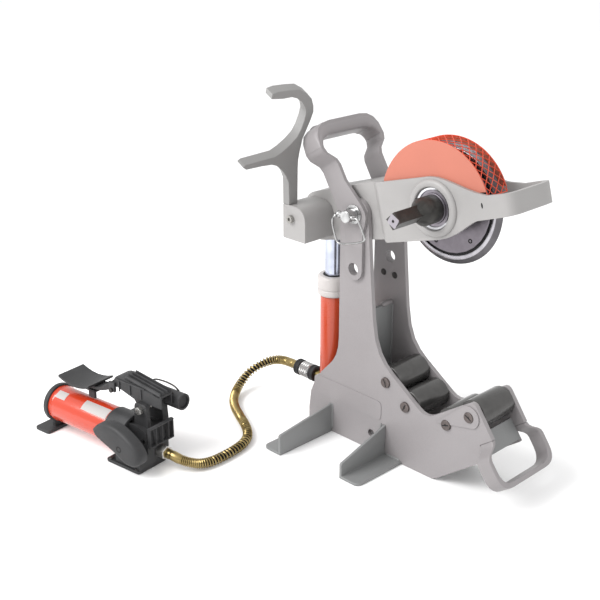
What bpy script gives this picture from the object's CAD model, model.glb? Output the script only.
import math

import bmesh
import bpy
from bpy.props import FloatProperty, FloatVectorProperty, IntProperty, PointerProperty
from mathutils import Matrix, Vector


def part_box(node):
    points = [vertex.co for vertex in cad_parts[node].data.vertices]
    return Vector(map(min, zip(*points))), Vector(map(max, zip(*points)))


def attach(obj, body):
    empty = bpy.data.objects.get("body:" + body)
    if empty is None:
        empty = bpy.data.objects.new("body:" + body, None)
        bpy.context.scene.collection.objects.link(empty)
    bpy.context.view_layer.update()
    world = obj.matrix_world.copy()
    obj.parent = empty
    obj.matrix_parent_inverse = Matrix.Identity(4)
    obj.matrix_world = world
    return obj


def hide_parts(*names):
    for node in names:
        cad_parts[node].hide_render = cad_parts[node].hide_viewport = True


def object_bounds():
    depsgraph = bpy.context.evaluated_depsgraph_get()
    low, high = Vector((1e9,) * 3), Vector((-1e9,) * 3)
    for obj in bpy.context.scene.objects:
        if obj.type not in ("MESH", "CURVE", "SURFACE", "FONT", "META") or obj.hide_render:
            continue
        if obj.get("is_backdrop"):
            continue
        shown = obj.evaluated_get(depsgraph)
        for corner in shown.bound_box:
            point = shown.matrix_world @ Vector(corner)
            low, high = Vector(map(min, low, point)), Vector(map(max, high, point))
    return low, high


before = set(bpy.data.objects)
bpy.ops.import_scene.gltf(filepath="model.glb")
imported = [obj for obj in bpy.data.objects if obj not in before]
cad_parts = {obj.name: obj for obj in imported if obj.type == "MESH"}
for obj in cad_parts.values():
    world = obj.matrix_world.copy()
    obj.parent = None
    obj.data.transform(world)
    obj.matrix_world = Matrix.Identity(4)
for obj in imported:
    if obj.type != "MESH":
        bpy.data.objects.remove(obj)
model_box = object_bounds()

bl_info = {
    "name": "Power pipe cutter",
    "version": (1, 0, 0),
    "blender": (4, 5, 0),
    "location": "3D View > Sidebar > Pipe cutter",
    "description": "Builds the finishes and fine pieces of a power pipe cutter with its foot pump",
    "category": "Object",
}

# Directions and places of the model
FORWARD = Vector((1, 0, 0))
ACROSS = Vector((0, 1, 0))
UPWARD = Vector((0, 0, 1))
ARM_FRAME = Matrix.Translation((-0.1985, 0, 0.516)) @ Matrix.Rotation(math.radians(-16), 4, "Y")
PUMP_FRAME = Matrix.Translation((-0.410, -0.384, 0)) @ Matrix.Rotation(math.radians(7.7), 4, "Z")
PUMP_LENGTHWISE = PUMP_FRAME.to_3x3() @ FORWARD
PUMP_ACROSS = PUMP_FRAME.to_3x3() @ ACROSS


def middle(node):
    """The middle of a CAD node's box."""
    low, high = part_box(node)
    return (low + high) / 2


def span(node):
    """The lowest and highest corners of a CAD node's box, and half its width in X."""
    low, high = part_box(node)
    return low, high, (high.x - low.x) / 2


def level(point, axis):
    """A point moved along an axis to the level of the model's origin."""
    return point - axis * point.dot(axis)


HUB = middle("cutter_wheel")
HUB_LINE = level(HUB, ACROSS)
RAM = middle("ram_cylinder")
COUPLER = middle("coupler_sleeve")


def shade(red, green, blue):
    """A colour seen in the photograph, as the linear colour that a shader takes."""
    return tuple(((part / 255 + 0.055) / 1.055) ** 2.4 for part in (red, green, blue))


def tint(colour, factor):
    """A colour made lighter or darker, with full opacity."""
    return tuple(min(1.0, part * factor) for part in colour[:3]) + (1.0,)


def colour_setting(label, words, default):
    return FloatVectorProperty(
        name=label, description=words, subtype="COLOR", size=3, min=0, max=1, default=default,
    )


def number_setting(label, words, default, subtype="NONE", unit="NONE"):
    return FloatProperty(name=label, description=words, subtype=subtype, unit=unit, min=0, default=default)


def length_setting(label, words, default):
    return number_setting(label, words, default, "DISTANCE", "LENGTH")


class PaintSettings(bpy.types.PropertyGroup):
    """Colours of the finishes."""

    plate: colour_setting("Plate paint", "Paint of the side plates and handles", shade(134, 130, 131))
    casting: colour_setting("Cast paint", "Paint of the cast arm and its block", shade(148, 146, 145))
    foot: colour_setting("Foot paint", "Paint of the feet and webs", shade(122, 123, 123))
    fork: colour_setting("Fork paint", "Paint of the support fork", shade(128, 127, 126))
    guard: colour_setting("Guard paint", "Paint of the wheel guard", shade(176, 104, 86))
    strand: colour_setting("Mesh paint", "Paint of the guard's expanded mesh", shade(214, 80, 52))
    ram: colour_setting("Ram paint", "Paint of the hydraulic cylinder", shade(182, 66, 36))
    collar: colour_setting("Collar paint", "Paint of the cylinder's head", shade(186, 181, 179))
    tank: colour_setting("Tank paint", "Paint of the pump's oil tank", shade(184, 54, 26))
    pump: colour_setting("Pump black", "Black of the pump's castings", shade(46, 46, 47))
    brass: colour_setting("Brass", "Brass of the hose's spring guard", shade(152, 134, 90))


class HoseSettings(bpy.types.PropertyGroup):
    """Sizes of the hydraulic hose."""

    diameter: length_setting("Hose diameter", "Outside of the rubber hose", 0.0132)
    length: length_setting("Hose length", "Length between its fittings", 0.6625)
    guard_radius: length_setting("Coil radius", "Radius of the spring guard's middle line", 0.009)
    wire: length_setting("Coil wire", "Thickness of the spring guard's wire", 0.0035)
    pitch: length_setting("Coil pitch", "Distance between coils that lie closed", 0.0037)
    opening: number_setting("Coil opening", "How far the bends open the coils", 1.3)
    ferrule: length_setting("Ferrule length", "Length of the plain sleeve at each end", 0.036)


class GuardSettings(bpy.types.PropertyGroup):
    """Sizes of the wheel guard's expanded mesh."""

    columns: IntProperty(name="Columns", description="Openings along the rim", default=17, min=4)
    rows: IntProperty(name="Rows", description="Openings across the guard", default=3, min=2)
    strand: length_setting("Strand width", "Width of one strand", 0.0017)
    sheet: length_setting("Strand thickness", "Thickness of one strand", 0.0016)


class WheelSettings(bpy.types.PropertyGroup):
    """Sizes of the cutting wheel's fine parts."""

    screws: IntProperty(name="Flange screws", description="Screws that hold the wheel's flange", default=6, min=0)
    screw_circle: length_setting("Screw circle", "Radius of the circle of screws", 0.082)
    screw_radius: length_setting("Screw radius", "Radius of a screw's head", 0.0046)


class StudioSettings(bpy.types.PropertyGroup):
    """Camera and lights."""

    lens: number_setting("Lens", "Focal length in millimetres", 66.1, "DISTANCE_CAMERA")
    key_power: number_setting("Key light", "Power of the key light", 95, "POWER")
    fill_power: number_setting("Fill light", "Power of the fill light", 4, "POWER")
    surround: number_setting("Surround", "Strength of the white surround", 1.07)


# Shader nodes
class Signal:
    """A number on a socket. Sums and products of signals add Math nodes."""

    def __init__(self, look, socket):
        self.look = look
        self.socket = socket

    def __add__(self, other):
        return self.look.maths("ADD", self, other)

    def __sub__(self, other):
        return self.look.maths("SUBTRACT", self, other)

    def __rsub__(self, other):
        return self.look.maths("SUBTRACT", other, self)

    def __mul__(self, other):
        return self.look.maths("MULTIPLY", self, other)

    __radd__ = __add__
    __rmul__ = __mul__


# Lumps to a metre
CLOUDS = 7.0
CASTING_CLOUDS = 20.0
SMUDGES = 45.0
GRIME = 60.0
PEEL = 420.0
CASTING_GRAIN = 1100.0
GRIT = 1500.0
TOOL_MARKS = 2600.0


class Look:
    """A material in the making."""

    def __init__(self, name, constants):
        self.material = bpy.data.materials.new(name)
        self.material.use_nodes = True
        self.tree = self.material.node_tree
        self.shader = self.tree.nodes["Principled BSDF"]
        for socket, value in constants.items():
            self.shader.inputs[socket].default_value = value

    def node(self, kind, settings=None, inputs=None, output=0):
        """A node of any other kind, with its settings first and then its sockets."""
        made = self.tree.nodes.new(kind)
        for key, value in (settings or {}).items():
            setattr(made, key, value)
        for key, value in (inputs or {}).items():
            self.plug(made.inputs[key], value)
        return Signal(self, made.outputs[output])

    def plug(self, socket, value):
        if isinstance(value, Signal):
            self.tree.links.new(value.socket, socket)
        else:
            socket.default_value = value

    def feed(self, socket, value):
        self.plug(self.shader.inputs[socket], value)

    def maths(self, operation, first, second):
        return self.node("ShaderNodeMath", {"operation": operation}, {0: first, 1: second})

    def vector(self, operation, *inputs, output=0):
        return self.node("ShaderNodeVectorMath", {"operation": operation}, dict(enumerate(inputs)), output)

    def point(self):
        """The point on the piece, in metres."""
        return self.node("ShaderNodeTexCoord", output="Object")

    def noise(self, scale, detail=2.0):
        """Noise with this many lumps to a metre."""
        return self.node("ShaderNodeTexNoise", None, {"Vector": self.point(), "Scale": scale, "Detail": detail})

    def rings(self, centre, axis):
        """Fine rings round an axis, as a lathe leaves them."""
        arm = self.vector("SUBTRACT", self.point(), centre)
        flat = self.vector("MULTIPLY", arm, [1 - abs(part) for part in axis])
        inputs = {"W": self.vector("LENGTH", flat, output="Value"), "Scale": TOOL_MARKS, "Detail": 3.0}
        return self.node("ShaderNodeTexNoise", {"noise_dimensions": "1D"}, inputs)

    def edge(self):
        """High on outer edges and low in corners."""
        return self.node("ShaderNodeNewGeometry", output="Pointiness")

    def spread(self, value, low, high):
        """0 below low, 1 above high and smooth between."""
        settings = {"interpolation_type": "SMOOTHSTEP"}
        return self.node("ShaderNodeMapRange", settings, {"Value": value, "From Min": low, "From Max": high})

    def blend(self, mask, first, second):
        """The first colour where the mask is 0 and the second where it is 1."""
        return self.node("ShaderNodeMix", {"data_type": "RGBA"}, {0: mask, 6: first, 7: second}, 2)

    def bump(self, height, strength, distance):
        inputs = {"Height": height, "Strength": strength, "Distance": distance}
        self.feed("Normal", self.node("ShaderNodeBump", None, inputs))


def painted(name, colour, roughness, grain, coat=0.0):
    """Paint on metal: orange peel, faint clouding, and paint rubbed thin on the edges."""
    look = Look(name, {"Specular IOR Level": 0.5, "Coat Weight": coat, "Coat Roughness": 0.12})
    cloud = look.noise(CLOUDS, 3.0)
    peel = look.noise(PEEL)
    grit = look.noise(GRIT)
    edge = look.edge()
    thin = look.spread(edge, 0.53, 0.66) * look.spread(grit, 0.3, 0.7) * 0.45
    dirt = look.spread(0.5 - edge + cloud * 0.08, 0.03, 0.12) * 0.35
    body = look.blend(look.spread(cloud, 0.32, 0.68), tint(colour, 0.95), tint(colour, 1.03))
    soiled = look.blend(dirt, body, tint(colour, 0.55))
    look.feed("Base Color", look.blend(thin, soiled, tint(colour, 1.3)))
    look.feed("Roughness", roughness + (cloud - 0.5) * 0.12 + (peel - 0.5) * 0.1)
    look.bump(peel * 0.65 + grit * 0.35, grain, 0.0006)
    return look.material


def bare_metal(name, colour, roughness, centre, axis, marks):
    """Turned or ground metal with fine tool marks round an axis and a few handling smudges."""
    look = Look(name, {"Metallic": 1.0, "Specular IOR Level": 0.5})
    ring = look.rings(centre, axis)
    smudge = look.noise(SMUDGES, 3.0)
    worn = look.spread(look.edge(), 0.52, 0.62) * 0.5
    body = look.blend(look.spread(smudge, 0.35, 0.7), tint(colour, 0.82), tint(colour, 1.05))
    look.feed("Base Color", look.blend(worn, body, tint(colour, 1.35)))
    look.feed("Roughness", roughness + (ring - 0.5) * 0.14 + (smudge - 0.5) * 0.18)
    look.bump(ring, marks, 0.0002)
    return look.material


def dark_steel(name, colour, roughness, grain=0.3, mottle=1.0):
    """Black oxide steel, with bright metal showing through on worn edges."""
    look = Look(name, {"Specular IOR Level": 0.5})
    grime = look.noise(GRIME, 4.0)
    grit = look.noise(GRIT)
    worn = look.spread(look.edge(), 0.53, 0.64) * look.spread(grime, 0.35, 0.6)
    dull = tint(colour, 1 - 0.2 * mottle)
    clear = tint(colour, 1 + 0.25 * mottle)
    body = look.blend(look.spread(grime, 0.3, 0.7), dull, clear)
    look.feed("Base Color", look.blend(worn * 0.7, body, tint(shade(120, 118, 116), 1)))
    look.feed("Metallic", 0.55 + worn * 0.4)
    look.feed("Roughness", roughness + (grime - 0.5) * (0.25 * mottle))
    look.bump(grit * 0.5 + grime * 0.5, grain, 0.0003)
    return look.material


def moulded_black(name, colour, roughness):
    """Black textured casting, greyed along its edges."""
    look = Look(name, {"Specular IOR Level": 0.35})
    cloud = look.noise(CASTING_CLOUDS, 3.0)
    grain = look.noise(CASTING_GRAIN, 3.0)
    rubbed = look.spread(look.edge(), 0.52, 0.64) * look.spread(cloud, 0.2, 0.6)
    body = look.blend(look.spread(cloud, 0.3, 0.7), tint(colour, 0.8), tint(colour, 1.15))
    look.feed("Base Color", look.blend(rubbed * 0.5, body, tint(colour, 2.6)))
    look.feed("Roughness", roughness + (grain - 0.5) * 0.2 + (cloud - 0.5) * 0.1)
    look.bump(grain, 0.35, 0.0004)
    return look.material


# Each finish: its recipe, its colour as seen or the paint setting that holds it, and the recipe's other values
FINISHES = {
    "plate_paint": (painted, "plate", 0.42, 0.22),
    "cast_paint": (painted, "casting", 0.46, 0.45),
    "foot_paint": (painted, "foot", 0.44, 0.25),
    "fork_paint": (painted, "fork", 0.48, 0.5),
    "guard_paint": (painted, "guard", 0.5, 0.15),
    "mesh_paint": (painted, "strand", 0.45, 0.1),
    "ram_paint": (painted, "ram", 0.3, 0.1, 0.4),
    "collar_paint": (painted, "collar", 0.38, 0.15),
    "tank_paint": (painted, "tank", 0.26, 0.06, 0.6),
    "blank_foil": (painted, (168, 164, 162), 0.35, 0.08),
    "pump_casting": (moulded_black, "pump", 0.52),
    "rubber": (moulded_black, (34, 34, 35), 0.6),
    "hose_rubber": (moulded_black, (9, 9, 9), 0.85),
    "recess": (moulded_black, (20, 20, 21), 0.7),
    "wheel_steel": (bare_metal, (168, 166, 171), 0.26, HUB, ACROSS, 0.3),
    "bevel_steel": (bare_metal, (104, 102, 105), 0.46, HUB, ACROSS, 0.3),
    "flange_steel": (bare_metal, (116, 111, 117), 0.36, HUB, ACROSS, 0.35),
    "bearing_steel": (bare_metal, (206, 206, 210), 0.18, HUB, ACROSS, 0.15),
    "seal_grey": (bare_metal, (138, 133, 140), 0.42, HUB, ACROSS, 0.1),
    "ground_end": (bare_metal, (150, 146, 152), 0.38, HUB, ACROSS, 0.2),
    "chrome": (bare_metal, (186, 191, 207), 0.1, RAM, UPWARD, 0.04),
    "pin_steel": (bare_metal, (178, 178, 178), 0.24, middle("pivot_pin"), ACROSS, 0.2),
    "zinc": (bare_metal, (206, 204, 200), 0.3, middle("pump_treadle_pin"), ACROSS, 0.15),
    "coupler_steel": (bare_metal, (168, 167, 166), 0.3, COUPLER, FORWARD, 0.2),
    "hose_brass": (bare_metal, "brass", 0.32, COUPLER, FORWARD, 0.15),
    "shaft_black": (dark_steel, (50, 49, 47), 0.4),
    "roller_steel": (dark_steel, (76, 75, 74), 0.24, 0.15, 0.3),
    "bolt_black": (dark_steel, (58, 56, 55), 0.45),
    "screw_grey": (dark_steel, (150, 148, 144), 0.5, 0.3, 0.3),
    "pin_face": (dark_steel, (96, 88, 86), 0.4, 0.3, 0.6),
}


def finish(name):
    """The named finish, made once."""
    known = bpy.data.materials.get(name)
    if known:
        return known
    recipe, colour, *values = FINISHES[name]
    if isinstance(colour, str):
        colour = getattr(bpy.context.scene.cutter_paint, colour)
    else:
        colour = shade(*colour)
    return recipe(name, colour, *values)


# CAD nodes that keep their shape, for each operator: a finish, the width of the broken edges, and the nodes
DRESSED = {
    "frame": [
        ("plate_paint", 0.0012, "near_side_plate", "far_side_plate"),
        ("plate_paint", 0.0014, "carry_handle"),
        ("plate_paint", 0.0025, "front_handle"),
        ("foot_paint", 0.0008, "column_web", "front_cross_web"),
        ("foot_paint", 0.0012, "rear_foot", "front_foot"),
        ("bolt_black", 0.0015, "ram_base"),
    ],
    "arm": [
        ("cast_paint", 0.0022, "cutter_arm"),
        ("cast_paint", 0.0018, "fork_block"),
        ("fork_paint", 0.0012, "support_fork"),
        ("bolt_black", 0.0008, "rod_end_pin"),
        ("screw_grey", 0.0006, "fork_bolt"),
    ],
    "wheel": [
        ("bearing_steel", 0.0005, "far_bearing"),
        ("shaft_black", 0.0011, "drive_shaft"),
        ("flange_steel", 0.0005, "wheel_flange"),
    ],
    "guard": [("guard_paint", 0.0004, "guard_near_plate", "guard_far_plate")],
    "ram": [
        ("chrome", 0.0006, "ram_rod"),
        ("hose_brass", 0.0006, "coupler_nipple"),
        ("pin_steel", 0.0008, "pivot_pin"),
        ("pin_steel", 0.0005, "near_washer", "far_washer"),
        ("pin_steel", 0, "lock_pin"),
    ],
    "pump": [
        ("pump_casting", 0.0014, "pump_base", "pump_rear_foot"),
        ("pump_casting", 0.0012, "pump_housing", "pump_treadle"),
        ("zinc", 0.0008, "pump_treadle_pin"),
        ("zinc", 0.0012, "pump_hose_nut"),
    ],
}
SHADE_ANGLE = math.radians(38)


def dress(group):
    """Gives a group's CAD nodes their finish and softly broken edges."""
    for look, edge, *nodes in DRESSED[group]:
        for node in nodes:
            dress_node(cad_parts[node], finish(look), edge)


def dress_node(piece, material, edge):
    data = piece.data
    data.materials.clear()
    data.materials.append(material)
    normals = data.attributes.get("custom_normal")
    if normals:
        data.attributes.remove(normals)
    data.shade_smooth()
    modify(piece, "Weld", "WELD", merge_threshold=2e-5)
    modify(piece, "Flat faces", "DECIMATE", decimate_type="DISSOLVE", angle_limit=math.radians(0.6))
    if edge:
        modify(
            piece, "Broken edges", "BEVEL", width=edge, segments=2, limit_method="ANGLE",
            angle_limit=math.radians(36), miter_outer="MITER_ARC",
        )
    modify(piece, "Even shading", "WEIGHTED_NORMAL", keep_sharp=True)


def modify(piece, name, kind, **settings):
    modifier = piece.modifiers.new(name, kind)
    for key, value in settings.items():
        setattr(modifier, key, value)


# Meshes
def add_piece(name, mesh, look, body, slot, *nodes):
    """A finished piece on its body, with the finish's slot and the CAD nodes that it stands for."""
    data = bpy.data.meshes.new(name)
    bmesh.ops.recalc_face_normals(mesh, faces=mesh.faces)
    for face in mesh.faces:
        face.smooth = True
    mesh.to_mesh(data)
    mesh.free()
    data.set_sharp_from_angle(angle=SHADE_ANGLE)
    piece = bpy.data.objects.new(name, data)
    bpy.context.scene.collection.objects.link(piece)
    data.materials.append(finish(look))
    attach(piece, body)
    if nodes:
        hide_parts(*nodes)
    return piece


def circle(sides, turn=0.0):
    """The cosine and sine of each of a circle's equal steps."""
    angles = [2 * math.pi * index / sides + turn for index in range(sides)]
    return [(math.cos(angle), math.sin(angle)) for angle in angles]


def skin(rings, capped=True, mesh=None):
    """A mesh over rings of places that follow each other. It is closed over both ends, or its ends meet."""
    if mesh is None:
        mesh = bmesh.new()
    rings = [[mesh.verts.new(place) for place in ring] for ring in rings]
    for first, second in zip(rings, rings[1:]):
        sides = max(len(first), len(second))
        for index in range(sides):
            after = (index + 1) % sides
            corners = [first[index % len(first)], first[after % len(first)]]
            corners += [second[after % len(second)], second[index % len(second)]]
            different = list(dict.fromkeys(corners))
            if len(different) > 2:
                mesh.faces.new(different)
    if capped:
        mesh.faces.new(reversed(rings[0]))
        mesh.faces.new(rings[-1])
    else:
        bmesh.ops.remove_doubles(mesh, verts=mesh.verts, dist=1e-7)
    return mesh


ROUNDING_SHARES = [0, 1 / 3, 2 / 3, 1]


def soften(rows, edge):
    """A profile whose inner corners are rounded."""
    points = [Vector(row) for row in rows]
    soft = [points[0]]
    for before, corner, after in zip(points, points[1:], points[2:]):
        back = before - corner
        ahead = after - corner
        setback = min(edge, back.length / 2.2, ahead.length / 2.2)
        start = corner + back.normalized() * setback
        end = corner + ahead.normalized() * setback
        for share in ROUNDING_SHARES:
            soft.append(start.lerp(corner, share).lerp(corner.lerp(end, share), share))
    soft.append(points[-1])
    return soft


def turned(rows, place, axis, edge, sides):
    """A turned mesh from rows of radius and distance along an axis. A profile clear of the axis is closed."""
    if rows[0][0]:
        rows = [*rows, rows[0]]
    into_place = Matrix.Translation(place) @ axis.to_track_quat("Z", "Y").to_matrix().to_4x4()
    rings = []
    for radius, along in soften(rows, edge):
        around = circle(sides) if radius > 1e-6 else [(0, 0)]
        rings.append([into_place @ Vector((radius * x, radius * y, along)) for x, y in around])
    return skin(rings, capped=False)


def add_turned(name, rows, place, axis, edge, sides, look, body, slot, *nodes):
    add_piece(name, turned(rows, place, axis, edge, sides), look, body, slot, *nodes)


def mirrored(rows, low, high):
    """Half a profile and its reflection, between its lowest and highest distance."""
    return rows + [(radius, low + high - along) for radius, along in reversed(rows)]


def along_path(points):
    """For each point its share of the way, itself, the way ahead, and two directions square to it."""
    last = len(points) - 1
    normal = None
    for index, point in enumerate(points):
        ahead = (points[min(index + 1, last)] - points[max(index - 1, 0)]).normalized()
        if normal is None:
            normal = ahead.orthogonal().normalized()
        normal = (normal - ahead * normal.dot(ahead)).normalized()
        yield index / last, point, ahead, normal, ahead.cross(normal)


def sweep(path, radius, sides):
    """A round tube along a path. The radius is a number or a function of the share of the way."""
    rings = []
    for share, point, _, normal, side in along_path(path):
        size = radius(share) if callable(radius) else radius
        rings.append([point + (normal * x + side * y) * size for x, y in circle(sides)])
    return skin(rings)


def block(mesh, size, place, turn=Matrix()):
    """Adds a box to a mesh, turned and then put in place."""
    made = bmesh.ops.create_cube(mesh, size=1)["verts"]
    bmesh.ops.scale(mesh, vec=size, verts=made)
    bmesh.ops.transform(mesh, matrix=turn, verts=made)
    bmesh.ops.translate(mesh, vec=place, verts=made)


def smooth_route(points, steps):
    """A centripetal spline through points, with this many steps between neighbours."""
    points = [2 * points[0] - points[1]] + points + [2 * points[-1] - points[-2]]
    route = []
    for before, start, end, after in zip(points, points[1:], points[2:], points[3:]):
        gaps = [math.sqrt((b - a).length) for a, b in ((before, start), (start, end), (end, after))]
        leave = (start - before) / gaps[0] - (end - before) / (gaps[0] + gaps[1]) + (end - start) / gaps[1]
        arrive = (end - start) / gaps[1] - (after - start) / (gaps[1] + gaps[2]) + (after - end) / gaps[2]
        leave *= gaps[1]
        arrive *= gaps[1]
        for step in range(steps):
            share = step / steps
            square = share * share
            cube = square * share
            route.append(
                start * (2 * cube - 3 * square + 1) + leave * (cube - 2 * square + share)
                + end * (3 * square - 2 * cube) + arrive * (cube - square)
            )
    route.append(points[-2])
    return route


def even_route(route, gap):
    """The same line with its points a fixed gap apart."""
    even = [route[0]]
    carried = 0.0
    for start, end in zip(route, route[1:]):
        span = (end - start).length
        while carried + span >= gap:
            start = start.lerp(end, (gap - carried) / span)
            even.append(start)
            span = (end - start).length
            carried = 0.0
        carried += span
    even.append(route[-1])
    return even


# Studio
CAMERA_PLACE = Vector((1.2334, -1.5628, 1.1721))
CAMERA_AIM = Vector((-0.3612, -0.005, 0.2829))
KEY_PLACE = Vector((-1.0, -2.3, 2.3))
KEY_AIM = Vector((-0.15, 0, 0.25))
FILL_PLACE = Vector((2.0, 0.9, 1.6))
FILL_AIM = Vector((-0.1, 0, 0.35))
FLOOR_SIZE = 9
FLOOR_GAP = 0.0005


def aim(thing, place, target):
    thing.location = place
    thing.rotation_euler = (target - place).to_track_quat("-Z", "Y").to_euler()


def build_stage(studio):
    scene = bpy.context.scene
    camera = bpy.data.objects.new("camera", bpy.data.cameras.new("camera"))
    scene.collection.objects.link(camera)
    camera.data.lens = studio.lens
    camera.data.sensor_width = 36
    camera.data.clip_end = 50
    aim(camera, CAMERA_PLACE, CAMERA_AIM)
    scene.camera = camera
    add_softbox("key_light", studio.key_power, 1.8, KEY_PLACE, KEY_AIM)
    add_softbox("fill_light", studio.fill_power, 1.4, FILL_PLACE, FILL_AIM)
    world = bpy.data.worlds.new("surround")
    world.use_nodes = True
    backdrop = world.node_tree.nodes["Background"]
    backdrop.inputs["Color"].default_value = (1, 1, 1, 1)
    backdrop.inputs["Strength"].default_value = studio.surround
    scene.world = world
    scene.view_settings.view_transform = "Standard"
    add_floor()


def add_softbox(name, power, size, place, target):
    light = bpy.data.lights.new(name, "AREA")
    light.energy = power
    light.size = size
    lamp = bpy.data.objects.new(name, light)
    bpy.context.scene.collection.objects.link(lamp)
    aim(lamp, place, target)


def add_floor():
    mesh = bmesh.new()
    bmesh.ops.create_grid(mesh, x_segments=1, y_segments=1, size=FLOOR_SIZE)
    data = bpy.data.meshes.new("floor")
    mesh.to_mesh(data)
    mesh.free()
    floor = bpy.data.objects.new("floor", data)
    floor.location.z = model_box[0][2] - FLOOR_GAP
    bpy.context.scene.collection.objects.link(floor)
    look = Look("floor_white", {"Base Color": (0.94, 0.94, 0.94, 1), "Roughness": 0.9})
    data.materials.append(look.material)
    floor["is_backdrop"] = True


# Hose: its route repeats the model's, in metres
HOSE_ROUTE = [
    (-0.39184, -0.35934, 0.031), (-0.374, -0.35693, 0.031),
    (-0.362, -0.352, 0.027), (-0.346, -0.340, 0.021), (-0.334, -0.321, 0.015), (-0.3285, -0.297, 0.012),
    (-0.328, -0.270, 0.0113), (-0.330, -0.241, 0.0113), (-0.334, -0.216, 0.0113), (-0.342, -0.192, 0.0113),
    (-0.356, -0.170, 0.0113), (-0.380, -0.149, 0.0113), (-0.408, -0.133, 0.0113), (-0.443, -0.116, 0.0113),
    (-0.479, -0.097, 0.0113), (-0.510, -0.074, 0.012), (-0.532, -0.047, 0.017), (-0.542, -0.024, 0.026),
    (-0.545, -0.002, 0.038), (-0.540, 0.019, 0.051), (-0.527, 0.037, 0.063), (-0.507, 0.048, 0.0735),
    (-0.482, 0.053, 0.0805), (-0.44398, 0.053, 0.084), (-0.42598, 0.053, 0.084),
]


def build_hose(hose):
    route = smooth_route([Vector(point) for point in HOSE_ROUTE], 12)
    curve = bpy.data.curves.new("hose", "CURVE")
    curve.dimensions = "3D"
    curve.bevel_depth = hose.diameter / 2
    curve.bevel_resolution = 4
    curve.use_fill_caps = True
    spline = curve.splines.new("POLY")
    spline.points.add(len(route) - 1)
    for point, place in zip(spline.points, route):
        point.co = (*place, 1)
    cord = bpy.data.objects.new("hose", curve)
    bpy.context.scene.collection.objects.link(cord)
    curve.materials.append(finish("hose_rubber"))
    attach(cord, "frame")
    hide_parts("hose_core")
    coil = spring_guard(route, hose)
    ferrules = [ferrule("hose_pump_ferrule", route, hose), ferrule("hose_ram_ferrule", route[::-1], hose)]
    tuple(HOSE_ROUTE[0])


COIL_STEPS = 12
# Where the bends open the coils: the middle of each stretch and half its length, as shares of the hose
OPEN_STRETCHES = [(0.28, 0.22), (0.82, 0.17)]


def openness(share):
    """1 in the middle of a stretch of opened coils and 0 where they lie closed."""
    return max(min(1.0, max(0.0, 2 - 2 * abs(share - centre) / half)) for centre, half in OPEN_STRETCHES)


def spring_guard(route, hose):
    """A round wire wound closely along the hose, from inside one ferrule to inside the other."""
    gap = hose.pitch / COIL_STEPS
    skip = round(hose.ferrule * 0.8 / gap)
    angle = 0.0
    helix = []
    for share, point, _, normal, side in along_path(even_route(route, gap)[skip:-skip]):
        angle += 2 * math.pi / COIL_STEPS / (1 + hose.opening * openness(share))
        helix.append(point + (normal * math.cos(angle) + side * math.sin(angle)) * hose.guard_radius)
    coil = sweep(helix, hose.wire / 2, 6)
    return add_piece("hose_spring_guard", coil, "hose_brass", "frame", "brass", "hose_spring")


def ferrule(name, route, hose):
    """A plain sleeve crimped over the start of a route and its spring."""
    gap = 0.002
    line = even_route(route, gap)[: round(hose.ferrule / gap) + 1]
    outside = hose.guard_radius + hose.wire / 2 - 0.0001

    def radius(share):
        crimp = 0.0006 if 0.3 < share < 0.42 else 0
        lip = 0.0012 * max(0, (share - 0.88) / 0.12)
        return outside - crimp - lip

    return add_piece(name, sweep(line, radius, 40), "hose_brass", "frame", "brass")


# Frame
WELD_RADIUS = 0.0032
RIPPLE = 0.0038


def weld_bead(name, start, end, radius=WELD_RADIUS, look="foot_paint", slot="paint_grey"):
    """A bead of weld with its ripples, laid in a corner."""
    start = Vector(start)
    end = Vector(end)
    length = (end - start).length
    steps = max(8, round(length / 0.0012))

    def size(share):
        ripple = abs(math.sin(share * length / RIPPLE * math.pi))
        taper = min(1.0, share * length / 0.004, (1 - share) * length / 0.004)
        return radius * (0.45 + 0.4 * taper + 0.15 * ripple)

    path = [start.lerp(end, index / steps) for index in range(steps + 1)]
    add_piece(name, sweep(path, size, 10), look, "frame", slot)


def build_welds():
    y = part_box("rear_foot")[1].y
    for name in ("rear_foot", "front_foot"):
        low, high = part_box(name)
        wall = low.x if name == "front_foot" else high.x
        for side, x in (("back", wall - 0.0065), ("front", wall + 0.0005)):
            weld_bead(f"{name}_weld_{side}", (x, y, 0.008), (x, y, high.z))
        weld_bead(f"{name}_weld_base", (low.x + 0.006, y, 0.0065), (high.x - 0.006, y, 0.0065))
    low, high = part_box("column_web")
    for side, x in (("back", low.x), ("front", high.x)):
        for edge, y in (("near", low.y), ("far", high.y)):
            weld_bead(f"column_web_weld_{side}_{edge}", (x, y, low.z + 0.01), (x, y, high.z - 0.004))
    for edge, y, run in (("near", low.y, 0.030), ("far", high.y, -0.034)):
        start = (high.x - 0.003, y, high.z + 0.001)
        end = (high.x - 0.001, y + run, high.z + 0.002)
        weld_bead(f"column_web_weld_top_{edge}", start, end, 0.0062, "plate_paint", "paint_light")
    low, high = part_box("ram_base")
    for edge, y in (("near", low.y), ("far", high.y)):
        weld_bead(f"ram_base_weld_{edge}", (low.x + 0.004, y, high.z), (high.x - 0.004, y, high.z), 0.003)


PLUG_PLACES = [(-0.215, 0.36), (-0.184, 0.36)]
PLATE_THICKNESS = 0.010


def build_plugs():
    """Two blind plugs in the far plate."""
    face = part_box("far_side_plate")[1].y - PLATE_THICKNESS - 0.0025
    for number, (x, z) in enumerate(PLUG_PLACES, 1):
        rows = [(0, -0.0028), (0.0045, -0.0028), (0.0072, -0.001), (0.0072, 0.004), (0, 0.004)]
        place = Vector((x, face, z))
        add_turned(f"plate_plug_{number}", rows, place, ACROSS, 0.0006, 32, "bolt_black", "frame", "steel_dark")


ROLLER_BORE = 0.0118
ROLLER_RECESS = 0.006


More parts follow.
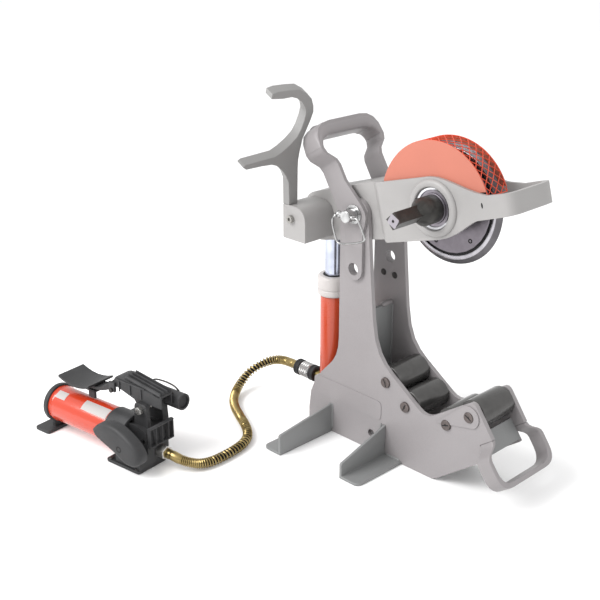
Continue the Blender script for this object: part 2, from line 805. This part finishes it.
def build_rollers():
    for number in range(1, 5):
        node = f"roller_{number}"
        low, high, radius = span(node)
        near = low.y + ROLLER_RECESS
        rows = mirrored([(ROLLER_BORE, near), (0.0185, near), (0.0205, low.y), (radius, low.y)], low.y, high.y)
        roller = turned(rows, level(middle(node), ACROSS), ACROSS, 0.0022, 96)
        add_piece(f"{node}_tube", roller, "roller_steel", node, "steel_dark", node)
        build_roller_pin(number)


def build_roller_pin(number):
    """A pin with a broken edge, a centre dimple and a screwdriver slot in each end."""
    node = f"roller_pin_{number}"
    low, high, radius = span(node)
    centre = level(middle(node), ACROSS)
    dimple = 0.0022
    rows = [(0, low.y + dimple), (dimple, low.y + dimple / 3), (dimple * 1.4, low.y), (radius, low.y)]
    pin = turned(mirrored(rows, low.y, high.y), centre, ACROSS, 0.0012, 48)
    add_piece(f"{node}_turned", pin, "pin_face", "frame", "steel_dark", node)
    mesh = bmesh.new()
    slant = Matrix.Rotation(math.radians(20 + 47 * number), 4, "Y")
    for y in (low.y, high.y):
        block(mesh, (radius * 1.5, 0.0005, 0.0022), (centre.x, y, centre.z), slant)
    add_piece(f"{node}_slots", mesh, "recess", "frame", "steel_dark")


# The carry handle: its own directions, and the outer line of its loop
CARRY_LEAN = math.radians(31.5)
CARRY_WIDTH = 0.049
CARRY_UP = Vector((-math.sin(CARRY_LEAN), 0, math.cos(CARRY_LEAN)))
CARRY_BACK = Vector((-math.cos(CARRY_LEAN), 0, -math.sin(CARRY_LEAN)))
CARRY_ORIGIN = Vector((-0.24407, 0, 0.61005))
CARRY_LEG = 0.042
CARRY_REACH = 0.092
CARRY_NEAR = -0.040
CARRY_FAR = 0.146
CARRY_CORNER = 0.048
# The bar over it: how far it stands proud, its thickness at the legs and what it gains, and its rounding
GRIP_PROUD = 0.0006
GRIP_THIN = 0.0092
GRIP_SWELL = 0.0205
GRIP_ROUND = 0.011
GRIP_STEPS = 10


def rounded_section(width, height, corner):
    """A rectangle with rounded corners, as points round its middle."""
    points = []
    for quarter, (side, top) in enumerate(((1, 1), (-1, 1), (-1, -1), (1, -1))):
        for share in (0, 0.25, 0.5, 0.75, 1):
            angle = (quarter + share) * math.pi / 2
            x = side * (width / 2 - corner) + corner * math.cos(angle)
            y = top * (height / 2 - corner) + corner * math.sin(angle)
            points.append((x, y))
    return points


def grip_path():
    """The outer line of the bar, from the near leg round to the far leg."""
    turn = Matrix((CARRY_UP, ACROSS, CARRY_BACK)).transposed().to_4x4()
    place = Matrix.Translation(CARRY_ORIGIN) @ turn
    reach = CARRY_REACH + GRIP_PROUD
    near = CARRY_NEAR - GRIP_PROUD
    far = CARRY_FAR + GRIP_PROUD
    bend = reach - CARRY_CORNER
    half = [(CARRY_LEG, near), (bend, near)]
    for step in range(1, GRIP_STEPS + 1):
        share = step / GRIP_STEPS
        half.append((bend + CARRY_CORNER * (2 * share - share * share), near + CARRY_CORNER * share * share))
    half += [(reach, near + (far - near) * share) for share in (0.3, 0.4, 0.5)]
    line = half + [(along, near + far - y) for along, y in reversed(half[:-1])]
    return [place @ Vector((along, y, CARRY_WIDTH / 2)) for along, y in line]


def build_carry_grip():
    """The thick, rounded bar of the carry handle, thinning into its legs."""
    rings = []
    for share, point, ahead, _, _ in along_path(grip_path()):
        inward = CARRY_BACK.cross(ahead).normalized()
        rise = min(1.0, 5.0 * min(share, 1 - share))
        depth = GRIP_THIN + GRIP_SWELL * rise * rise * (3 - 2 * rise)
        section = rounded_section(CARRY_WIDTH + 2 * GRIP_PROUD, depth, min(GRIP_ROUND, depth / 2.2))
        centre = point + inward * (depth / 2)
        rings.append([centre + CARRY_BACK * x + inward * y for x, y in section])
    add_piece("carry_grip", skin(rings), "plate_paint", "frame", "paint_light")


# Arm, wheel and guard
HUB_REACH = 0.217
OIL_SLOT_PLACE = (HUB_REACH + 0.113, -0.002)
OIL_SLOT_FACES = (-0.0248, -0.0218)


def build_oil_slot():
    """The dark oil slot in the arm's near cheek."""
    along, height = OIL_SLOT_PLACE
    rings = []
    for y in OIL_SLOT_FACES:
        rings.append([ARM_FRAME @ Vector((along + 0.0016 * x, y, height + 0.005 * z)) for x, z in circle(16)])
    add_piece("arm_oil_slot", skin(rings), "recess", "arm", "steel_dark")


BOSS_ROWS = [
    (0.0408, -0.0240), (0.0408, -0.0296), (0.0428, -0.0312), (0.0498, -0.0312), (0.0540, -0.0282),
    (0.0556, -0.0240),
]
BEARING_RADIUS = 0.040


def add_hub_ring(name, rows, *values):
    """A turned piece round the hub."""
    add_turned(name, rows, HUB_LINE, ACROSS, *values)


def build_bearings():
    """Bearing rings, with the arm's boss round them and the seal between them."""
    add_hub_ring("hub_boss_ring", BOSS_ROWS, 0.0022, 120, "cast_paint", "arm", "cast_grey")
    node = "near_bearing_outer"
    low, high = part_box(node)
    rows = [
        (0.0355, low.y + 0.001), (BEARING_RADIUS - 0.0004, low.y), (BEARING_RADIUS - 0.0002, high.y),
        (0.0355, high.y),
    ]
    add_hub_ring("near_bearing_ring", rows, 0.0006, 96, "bearing_steel", "arm", "steel_bright", node)
    face = low.y + 0.0026
    rows = mirrored([(0.0297, face), (0.0352, face)], face, face + 0.0024)
    add_hub_ring("near_bearing_seal", rows, 0.0005, 96, "seal_grey", "arm", "steel_bright")
    node = "near_bearing_inner"
    low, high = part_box(node)
    rows = mirrored([(0.0203, low.y), (0.0290, low.y)], low.y, high.y)
    add_hub_ring("near_bearing_race", rows, 0.0008, 96, "seal_grey", "cutter", "steel_bright", node)


SQUARE_SIDE = 0.0238
SQUARE_TURN = math.radians(28)


def build_square_end():
    """The ground face on the end of the drive square, round its centre hole."""
    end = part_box("drive_shaft")[0].y
    hole = SQUARE_SIDE / 8
    half = SQUARE_SIDE / 2 - 0.0014
    sides = 32
    rings = []
    for y in (end - 0.0003, end + 0.0006):
        outer = []
        inner = []
        for (x, z), (cosine, sine) in zip(circle(sides), circle(sides, -SQUARE_TURN)):
            reach = min(half / max(abs(x), abs(z)), half * 1.32)
            outer.append((HUB.x + reach * cosine, y, HUB.z + reach * sine))
            inner.append((HUB.x + hole * cosine, y, HUB.z + hole * sine))
        rings += [outer, inner]
    face = skin([rings[index] for index in (0, 1, 3, 2, 0)], capped=False)
    add_piece("drive_square_face", face, "ground_end", "cutter", "steel_bright")


WHEEL_BORE = 0.0343
BEVEL_START = 0.1085


def build_wheel(wheel):
    """The cutting wheel with its ground bevels, and the flange with its groove and ring of screws."""
    low, high, radius = span("cutter_wheel")
    near = low.y
    far = high.y
    edge = (near + far) / 2
    rows = [
        (WHEEL_BORE, near + 0.004), (0.1000, near + 0.004), (0.1008, near + 0.0005), (0.1040, near),
        (BEVEL_START, near + 0.0005), (BEVEL_START, far), (WHEEL_BORE, far),
    ]
    node = "cutter_wheel"
    add_hub_ring("cutting_wheel_ground", rows, 0.0006, 144, "wheel_steel", "cutter", "steel_bright", node)
    inside = BEVEL_START - 0.0002
    rows = [
        (inside, near + 0.0006), (0.1105, near + 0.0025), (radius, edge - 0.0004), (radius, edge + 0.0004),
        (0.1105, far - 0.0025), (inside, far - 0.0002),
    ]
    add_hub_ring("cutting_wheel_bevels", rows, 0.0006, 144, "bevel_steel", "cutter", "steel_bright")
    face = near + 0.0036
    rows = mirrored([(0.0900, face), (0.0999, face)], face, face + 0.0010)
    add_hub_ring("flange_groove", rows, 0.0, 144, "recess", "cutter", "steel_dark")
    build_flange_screws(wheel, near - 0.0010)


def build_flange_screws(wheel, face):
    radius = wheel.screw_radius
    socket = radius * 0.5
    rows = [
        (0, 0.0016), (socket, 0.0016), (socket, -0.0007), (radius, -0.0007), (radius, 0.004), (0, 0.004),
    ]
    for number, (x, z) in enumerate(circle(wheel.screws, math.radians(12)), 1):
        place = Vector((HUB.x + wheel.screw_circle * x, face, HUB.z + wheel.screw_circle * z))
        add_turned(f"flange_screw_{number}", rows, place, ACROSS, 0.0004, 32, "recess", "cutter", "steel_dark")


GUARD_BACK = 0.133
GUARD_FRONT = 0.122
GUARD_START = math.radians(152)
GUARD_END = math.radians(5)
STRAND_TIP = 0.0004


def guard_point(share, y, lift):
    """A point over the guard's rim, from its back end at share 0 to its front end at share 1."""
    radius = GUARD_BACK + (GUARD_FRONT - GUARD_BACK) * math.sin(share * math.pi / 2) + lift
    angle = GUARD_START + (GUARD_END - GUARD_START) * share
    return ARM_FRAME @ Vector((HUB_REACH + radius * math.cos(angle), y, radius * math.sin(angle)))


def build_guard(guard):
    """The expanded mesh: two families of slanting strands, and straight ones along its four sides."""
    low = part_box("guard_near_plate")[1].y
    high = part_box("guard_far_plate")[0].y
    columns = 2 * guard.columns
    rows = 2 * guard.rows
    strands = []
    for column in range(columns):
        for row in range(rows):
            fall = (column + row) % 2
            strands.append(((column, row + fall), (column + 1, row + 1 - fall)))
    for row in (0, rows):
        strands += [((column, row), (column + 1, row)) for column in range(columns)]
    for column in (0, columns):
        strands += [((column, row), (column, row + 1)) for row in range(rows)]
    mesh = bmesh.new()
    for strand in strands:
        ends = [(column / columns, low + (high - low) * row / rows) for column, row in strand]
        add_strand(mesh, ends, guard)
    add_piece("guard_expanded_mesh", mesh, "mesh_paint", "arm", "guard_coral", "guard_mesh")


def add_strand(mesh, ends, guard):
    """One strand between two knots of the mesh, a little tipped as stretched metal is."""
    arc = (GUARD_BACK + GUARD_FRONT) / 2 * (GUARD_START - GUARD_END)
    run = Vector(((ends[1][0] - ends[0][0]) * arc, ends[1][1] - ends[0][1]))
    across = Vector((-run.y, run.x)).normalized() * guard.strand / 2
    tip = STRAND_TIP
    rings = []
    for share, y in ends:
        ring = []
        for side, lift in ((-1, tip), (1, -tip), (1, -tip - guard.sheet), (-1, tip - guard.sheet)):
            offset = across * side
            ring.append(guard_point(share + offset.x / arc, y + offset.y, lift))
        rings.append(ring)
    skin(rings, mesh=mesh)


# Ram and pivot
RAM_BORE = 0.0196


def build_ram():
    centre = level(RAM, UPWARD)
    low, high, radius = span("ram_cylinder")
    floor = high.z - 0.02
    rows = [(0, low.z), (radius, low.z), (radius, high.z), (RAM_BORE, high.z), (RAM_BORE, floor), (0, floor)]
    add_turned("ram_tube", rows, centre, UPWARD, 0.003, 96, "ram_paint", "frame", "ram_orange", "ram_cylinder")
    low, high, radius = span("ram_collar")
    groove = radius - 0.0016
    band = low.z + 0.012
    rows = [
        (RAM_BORE, low.z), (radius - 0.002, low.z), (radius, low.z + 0.003), (radius, band),
        (groove, band + 0.0012), (groove, band + 0.0032), (radius, band + 0.0044), (radius, high.z - 0.004),
        (radius - 0.004, high.z), (RAM_BORE + 0.003, high.z), (RAM_BORE + 0.003, high.z - 0.003),
        (RAM_BORE, high.z - 0.003),
    ]
    add_turned("ram_head", rows, centre, UPWARD, 0.001, 96, "collar_paint", "frame", "ram_cream", "ram_collar")
    seat = high.z - 0.0025
    rows = [(0.0192, seat), (0.0222, seat), (0.0214, high.z + 0.0012), (0.0192, high.z + 0.0016)]
    add_turned("ram_wiper", rows, centre, UPWARD, 0.0004, 64, "rubber", "frame", "rubber_black")


COUPLER_BORE = 0.0103
KNURL_TEETH = 30
KNURL_DEPTH = 0.0009


def knurl(mesh, centre, start, end, least):
    """Presses crossed knurling into the band of a sleeve between two places along it."""
    side = FORWARD.orthogonal()
    for vertex in mesh.verts:
        along = vertex.co.x
        flat = vertex.co - centre - FORWARD * along
        if flat.length > least and start < along < end:
            angle = math.atan2(flat.dot(side), flat.dot(FORWARD.cross(side))) * KNURL_TEETH
            twist = (along - start) / (end - start) * math.pi * 4
            ridge = math.cos(angle + twist) * math.cos(angle - twist)
            vertex.co -= flat.normalized() * KNURL_DEPTH * (0.5 - ridge / 2)


def build_coupler():
    centre = level(COUPLER, FORWARD)
    low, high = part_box("coupler_sleeve")
    radius = (high.z - low.z) / 2
    ends = [(COUPLER_BORE, low.x), (radius - 0.002, low.x), (radius - 0.0004, low.x + 0.0018)]
    rows = mirrored(ends, low.x, high.x)
    rows[3:3] = [(radius, low.x + 0.003 + (high.x - low.x - 0.006) * index / 20) for index in range(21)]
    sleeve = turned(rows, centre, FORWARD, 0.0005, KNURL_TEETH * 4)
    knurl(sleeve, centre, low.x + 0.0025, high.x - 0.0025, (radius - 0.0004) * 0.97)
    node = "coupler_sleeve"
    add_piece("coupler_knurled_sleeve", sleeve, "coupler_steel", node, "steel_bright", node)
    for node, bore in (("coupler_front_ring", COUPLER_BORE), ("coupler_rear_ring", 0.001)):
        low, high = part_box(node)
        radius = (high.z - low.z) / 2
        half = (low.x + high.x) / 2
        rows = [
            (bore, low.x), (radius - 0.0015, low.x), (radius, low.x + 0.002), (radius, half - 0.003),
            (radius - 0.0014, half - 0.0018),
        ]
        ring = turned(mirrored(rows, low.x, high.x), centre, FORWARD, 0.0007, 72)
        add_piece(f"{node}_turned", ring, "rubber", "frame", "rubber_black", node)


BAIL_EYE = Vector((-0.2205, -0.026, 0.516))
BAIL_OUT = -0.0183
BAIL_REACH = 0.080
BAIL_SHARES = [
    (0, 0), (-0.09, -0.1), (-0.1, -0.22), (0.06, -0.64), (0.13, -0.7), (0.95, -0.46), (1.0, -0.38),
    (0.79, 0.0), (0.71, 0.06), (0.55, 0.04),
]


def build_bail():
    """The wire bail of the lock pin."""
    bends = [BAIL_EYE + Vector((x * BAIL_REACH, BAIL_OUT, z * BAIL_REACH)) for x, z in BAIL_SHARES]
    path = smooth_route([BAIL_EYE, *bends], 6)
    add_piece("wire_bail", sweep(path, 0.0022, 12), "pin_steel", "bail", "steel_bright", "pin_bail")


# Foot pump
def pump_place(x, y, z):
    """A point given in the pump's own frame."""
    return PUMP_FRAME @ Vector((x, y, z))


TANK_OFFSET = 0.005
TANK_HEIGHT = 0.060
TANK_END = -0.288
TANK_FRONT = -0.0963
TANK_BORE = 0.0355
TANK_RADIUS = 0.039
CAP_RADIUS = 0.043
CAP_DEPTH = 0.009


def build_tank():
    """The red oil tank with its pressed bead, and the black end cap."""
    rows = [
        (TANK_BORE, TANK_END), (TANK_RADIUS, TANK_END), (TANK_RADIUS, TANK_END + 0.010),
        (TANK_RADIUS + 0.0012, TANK_END + 0.0125), (TANK_RADIUS, TANK_END + 0.015),
        (TANK_RADIUS, TANK_FRONT), (TANK_BORE, TANK_FRONT),
    ]
    centre = pump_place(0, TANK_OFFSET, TANK_HEIGHT)
    tube = turned(rows, centre, PUMP_LENGTHWISE, 0.0012, 96)
    add_piece("pump_tank_tube", tube, "tank_paint", "frame", "pump_red", "pump_tank")
    back = TANK_END - CAP_DEPTH
    front = TANK_END + 0.003
    rows = [
        (0, back + 0.0025), (0.030, back + 0.0022), (0.034, back), (CAP_RADIUS - 0.002, back),
        (CAP_RADIUS, back + 0.002), (CAP_RADIUS, front), (TANK_RADIUS + 0.0006, front + 0.0012),
        (0.034, front), (0, front),
    ]
    cap = turned(rows, centre, PUMP_LENGTHWISE, 0.0012, 96)
    add_piece("pump_end_cap", cap, "pump_casting", "frame", "pump_black", "pump_tank_cap")


# Blank plates on the tank: ends along it, and angles round it from the top toward the operator
PLATE_PLACES = {
    "tank_plate_long": (-0.188, -0.112, 12, 48),
    "tank_plate_short": (-0.272, -0.242, 16, 44),
}
PLATE_STEPS = 16


def build_plates():
    """Thin blank plates that follow the tank's curve."""
    inside = TANK_RADIUS - 0.0004
    outside = TANK_RADIUS + 0.0004
    for name, (back, front, first, last) in PLATE_PLACES.items():
        rings = []
        for step in range(PLATE_STEPS + 1):
            angle = math.radians(first + (last - first) * step / PLATE_STEPS)
            ring = []
            for radius, x in ((inside, back), (outside, back), (outside, front), (inside, front)):
                y = TANK_OFFSET - radius * math.sin(angle)
                ring.append(pump_place(x, y, TANK_HEIGHT + radius * math.cos(angle)))
            rings.append(ring)
        add_piece(name, skin(rings), "blank_foil", "frame", "steel_bright")


# Sizes and middles of the blocks: upright ribs and two cross ribs on the front of the housing
RIB_BLOCKS = [
    *[((0.008, 0.003, 0.042), (0.003, y, 0.071)) for y in (-0.0095, 0.008, 0.026, 0.044, 0.0575)],
    ((0.009, 0.070, 0.0035), (0.0035, 0.024, 0.0925)),
    ((0.008, 0.070, 0.0035), (0.003, 0.024, 0.0505)),
]
# The lug under the treadle's arm, the bracket under its pad with its web, and the beam's near cheek
LUG_BLOCKS = [
    ((0.018, 0.006, 0.022), (-0.118, 0.008, 0.148)),
    ((0.030, 0.040, 0.005), (-0.190, 0.028, 0.1175)),
    ((0.020, 0.006, 0.018), (-0.186, 0.011, 0.110)),
    *[((0.0035, 0.003, 0.026), (x, 0.0092, 0.155)) for x in (-0.098, -0.066, -0.034)],
    ((0.084, 0.003, 0.0035), (-0.064, 0.0092, 0.1685)),
]
RIVET_PLACE = (-0.118, 0.0045, 0.141)
FIN_FRONT = Vector((0.020, 0, 0.1655))
FIN_BACK = Vector((-0.080, 0, 0.1795))
FIN_OFFSETS = (0.0115, 0.0215, 0.0315, 0.0415)


def add_blocks(name, blocks, edge, body):
    """A casting made of blocks whose edges are rounded."""
    mesh = bmesh.new()
    for values in blocks:
        block(mesh, *values)
    bmesh.ops.transform(mesh, matrix=PUMP_FRAME, verts=mesh.verts)
    sharp = [line for line in mesh.edges if len(line.link_faces) == 2 and line.calc_face_angle() > SHADE_ANGLE]
    bmesh.ops.bevel(mesh, geom=sharp, offset=edge, segments=2, affect="EDGES", clamp_overlap=True)
    add_piece(name, mesh, "pump_casting", body, "pump_black")


def build_treadle_fins():
    """Stiffening fins along the top of the treadle's channel."""
    along = FIN_BACK - FIN_FRONT
    size = (along.length, 0.003, 0.011)
    slant = Matrix.Rotation(math.atan2(-along.z, along.x) - math.pi, 4, "Y")
    centre = (FIN_FRONT + FIN_BACK) / 2
    add_blocks("treadle_fins", [(size, centre + ACROSS * y, slant) for y in FIN_OFFSETS], 0.0006, "treadle")


def build_treadle_lugs():
    add_blocks("treadle_lugs", LUG_BLOCKS, 0.0009, "treadle")
    rows = [(0, -0.0035), (0.0052, -0.0035), (0.0052, 0.0035), (0, 0.0035)]
    rivet = turned(rows, pump_place(*RIVET_PLACE), PUMP_ACROSS, 0.0006, 24)
    add_piece("treadle_lug_rivet", rivet, "bolt_black", "treadle", "steel_dark")


SCREW_PLACES = [(-0.0875, -0.0365), (-0.0875, 0.0365), (-0.010, 0.0365), (-0.010, -0.0365)]


def build_base_screws():
    mesh = bmesh.new()
    for x, y in SCREW_PLACES:
        screw = bmesh.ops.create_cone(
            mesh, cap_ends=True, segments=24, radius1=0.0042, radius2=0.0036, depth=0.0035,
        )["verts"]
        bmesh.ops.translate(mesh, vec=(x, y, 0.0082), verts=screw)
    bmesh.ops.transform(mesh, matrix=PUMP_FRAME, verts=mesh.verts)
    add_piece("pump_base_screws", mesh, "bolt_black", "frame", "steel_dark")


RELEASE_OUTLINE = [
    (-0.110, 0.080), (-0.100, 0.091), (-0.084, 0.100), (-0.064, 0.1045), (-0.042, 0.1035), (-0.022, 0.097),
    (-0.002, 0.087), (0.014, 0.075), (0.024, 0.061), (0.025, 0.047), (0.017, 0.035), (0.003, 0.029),
    (-0.014, 0.030), (-0.030, 0.036), (-0.048, 0.044), (-0.068, 0.053), (-0.088, 0.062), (-0.104, 0.070),
]
# Distance toward the operator, and how far the outline draws in there
RELEASE_LAYERS = [(-0.0385, 0.0), (-0.056, 0.0), (-0.0605, 0.0012), (-0.0635, 0.0042), (-0.065, 0.0095)]


def build_release_pedal():
    """The release pedal: a thick rounded casting, crowned on its outer side, with its pin in a recess."""
    outline = smooth_route([Vector((x, 0, z)) for x, z in RELEASE_OUTLINE + RELEASE_OUTLINE[:1]], 4)[:-1]
    centre = sum(outline, Vector()) / len(outline)
    rings = []
    for y, inset in RELEASE_LAYERS:
        places = [point - (point - centre).normalized() * inset for point in outline]
        rings.append([pump_place(place.x, y, place.z) for place in places])
    pedal = skin(rings)
    add_piece("release_pedal_cast", pedal, "pump_casting", "release_pedal", "pump_black", "pump_release_pedal")
    rows = [
        (0, -0.0640), (0.0042, -0.0640), (0.0042, -0.0652), (0.0066, -0.0655), (0.0078, -0.0645),
        (0.0078, -0.0600), (0, -0.0600),
    ]
    cup = turned(rows, pump_place(-0.030, 0, 0.060), PUMP_ACROSS, 0.0004, 32)
    add_piece("release_pin_recess", cup, "recess", "release_pedal", "steel_dark", "pump_release_pin")


CATCH_POINTS = [(0.014, 0.1525), (0.004, 0.1590), (-0.014, 0.1625), (-0.036, 0.1625), (-0.056, 0.1590)]
CATCH_NEAR = 0.0555
CATCH_FAR = 0.0715


def build_catch():
    """The wire catch over the barrel, which holds the treadle down for carrying."""
    out = [pump_place(x, CATCH_NEAR, z) for x, z in CATCH_POINTS]
    back = [pump_place(x, CATCH_FAR, z) for x, z in reversed(CATCH_POINTS)]
    path = smooth_route(out + back, 6)
    add_piece("treadle_catch", sweep(path, 0.0019, 10), "bolt_black", "frame", "steel_dark")


# Operators
class PIPE_CUTTER_OT_stage(bpy.types.Operator):
    """Adds the floor, the soft lights and the camera."""

    bl_idname = "pipe_cutter.stage"
    bl_label = "Add stage"

    def execute(self, context):
        build_stage(context.scene.cutter_studio)
        return {"FINISHED"}


class PIPE_CUTTER_OT_hose(bpy.types.Operator):
    """Adds the hydraulic hose with its spring guard and ferrules."""

    bl_idname = "pipe_cutter.hose"
    bl_label = "Add hose"

    def execute(self, context):
        build_hose(context.scene.cutter_hose)
        return {"FINISHED"}


class PIPE_CUTTER_OT_frame(bpy.types.Operator):
    """Finishes the plates, feet and handles, with their welds and plugs."""

    bl_idname = "pipe_cutter.frame"
    bl_label = "Finish frame"

    def execute(self, context):
        dress("frame")
        build_welds()
        build_plugs()
        build_carry_grip()
        return {"FINISHED"}


class PIPE_CUTTER_OT_rollers(bpy.types.Operator):
    """Adds the four rollers and their pins."""

    bl_idname = "pipe_cutter.rollers"
    bl_label = "Add rollers"

    def execute(self, context):
        build_rollers()
        return {"FINISHED"}


class PIPE_CUTTER_OT_arm(bpy.types.Operator):
    """Finishes the cast arm, its block and the support fork."""

    bl_idname = "pipe_cutter.arm"
    bl_label = "Finish arm"

    def execute(self, context):
        dress("arm")
        build_oil_slot()
        return {"FINISHED"}


class PIPE_CUTTER_OT_wheel(bpy.types.Operator):
    """Adds the bearings, the drive shaft's finish, the cutting wheel and its flange screws."""

    bl_idname = "pipe_cutter.wheel"
    bl_label = "Add wheel"

    def execute(self, context):
        dress("wheel")
        build_bearings()
        build_square_end()
        build_wheel(context.scene.cutter_wheel)
        return {"FINISHED"}


class PIPE_CUTTER_OT_guard(bpy.types.Operator):
    """Adds the wheel guard's expanded mesh and paints its plates."""

    bl_idname = "pipe_cutter.guard"
    bl_label = "Add guard"

    def execute(self, context):
        dress("guard")
        build_guard(context.scene.cutter_guard)
        return {"FINISHED"}


class PIPE_CUTTER_OT_ram(bpy.types.Operator):
    """Adds the hydraulic ram, its coupler, and the pivot pin's finish and bail."""

    bl_idname = "pipe_cutter.ram"
    bl_label = "Add ram"

    def execute(self, context):
        dress("ram")
        build_ram()
        build_coupler()
        build_bail()
        return {"FINISHED"}


class PIPE_CUTTER_OT_pump(bpy.types.Operator):
    """Finishes the foot pump and adds its tank, fins and catch."""

    bl_idname = "pipe_cutter.pump"
    bl_label = "Finish pump"

    def execute(self, context):
        dress("pump")
        build_tank()
        build_plates()
        add_blocks("housing_ribs", RIB_BLOCKS, 0.0008, "frame")
        build_base_screws()
        build_release_pedal()
        build_treadle_fins()
        build_treadle_lugs()
        build_catch()
        return {"FINISHED"}


class PIPE_CUTTER_PT_panel(bpy.types.Panel):
    """Lists the steps and the settings."""

    bl_idname = "PIPE_CUTTER_PT_panel"
    bl_label = "Pipe cutter"
    bl_space_type = "VIEW_3D"
    bl_region_type = "UI"
    bl_category = "Pipe cutter"

    def draw(self, context):
        for step in STEPS:
            self.layout.operator(step.bl_idname)
        for setting in SETTINGS:
            group = getattr(context.scene, setting)
            for name in group.__annotations__:
                self.layout.prop(group, name)


SETTINGS = {
    "cutter_paint": PaintSettings,
    "cutter_hose": HoseSettings,
    "cutter_guard": GuardSettings,
    "cutter_wheel": WheelSettings,
    "cutter_studio": StudioSettings,
}
STEPS = (
    PIPE_CUTTER_OT_stage,
    PIPE_CUTTER_OT_hose,
    PIPE_CUTTER_OT_frame,
    PIPE_CUTTER_OT_rollers,
    PIPE_CUTTER_OT_arm,
    PIPE_CUTTER_OT_wheel,
    PIPE_CUTTER_OT_guard,
    PIPE_CUTTER_OT_ram,
    PIPE_CUTTER_OT_pump,
)


def register():
    for group in SETTINGS.values():
        bpy.utils.register_class(group)
    for step in STEPS:
        bpy.utils.register_class(step)
    bpy.utils.register_class(PIPE_CUTTER_PT_panel)
    for name, group in SETTINGS.items():
        setattr(bpy.types.Scene, name, PointerProperty(type=group))


def unregister():
    for name in SETTINGS:
        delattr(bpy.types.Scene, name)
    bpy.utils.unregister_class(PIPE_CUTTER_PT_panel)
    for step in reversed(STEPS):
        bpy.utils.unregister_class(step)
    for group in SETTINGS.values():
        bpy.utils.unregister_class(group)


def main():
    register()
    bpy.ops.pipe_cutter.stage()
    bpy.ops.pipe_cutter.hose()
    bpy.ops.pipe_cutter.frame()
    bpy.ops.pipe_cutter.rollers()
    bpy.ops.pipe_cutter.arm()
    bpy.ops.pipe_cutter.wheel()
    bpy.ops.pipe_cutter.guard()
    bpy.ops.pipe_cutter.ram()
    bpy.ops.pipe_cutter.pump()
    boxes = {"cad": model_box, "visual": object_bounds()}
    sizes = {name: [list(corner) for corner in box] for name, box in boxes.items()}


if __name__ == "__main__":
    main()
